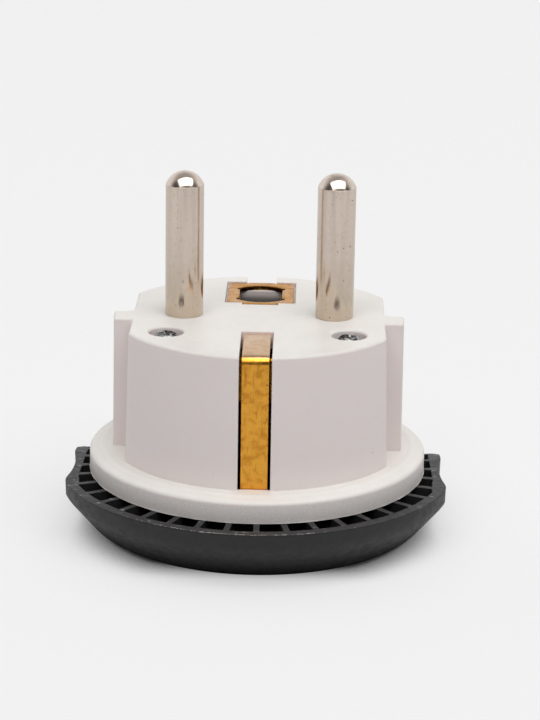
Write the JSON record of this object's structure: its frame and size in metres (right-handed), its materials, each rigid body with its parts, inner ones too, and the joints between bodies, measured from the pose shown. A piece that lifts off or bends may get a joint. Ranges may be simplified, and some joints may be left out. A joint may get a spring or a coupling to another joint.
{
  "type": "plug adapter",
  "caption": "Round earthed plug adapter: two round pins and earth straps on a drum-shaped body, over a wider dished socket cover with finger grips and radial ribs.",
  "frame": {"origin": "centre of the flat socket face, on the plug's axis, where the adapter rests", "axes": "+Z along the plug pins, towards their tips; +X to the right along the row of pins; -Y towards the front earth strap"},
  "size_m": [0.0486, 0.0509, 0.046],
  "materials": {
    "white_plastic": "satin moulded white plastic",
    "dark_plastic": "fine-grained dark grey moulded plastic",
    "plated_pin": "worn bright nickel plating with fine lengthwise marks",
    "screw_steel": "dark plated steel",
    "brass": "rolled brass strip, lightly mottled and scratched"
  },
  "bodies": {
    "root": {"plug_housing": "white_plastic", "socket_cover": "dark_plastic", "front_earth_strap": "brass", "rear_earth_strap": "brass", "earth_bridge": "brass", "front_rivet": "brass", "rear_rivet": "brass", "left_pin": "plated_pin", "right_pin": "plated_pin", "left_screw": "screw_steel", "right_screw": "screw_steel", "left_front_spring": "brass", "left_rear_spring": "brass", "right_front_spring": "brass", "right_rear_spring": "brass"}
  },
  "joints": []
}
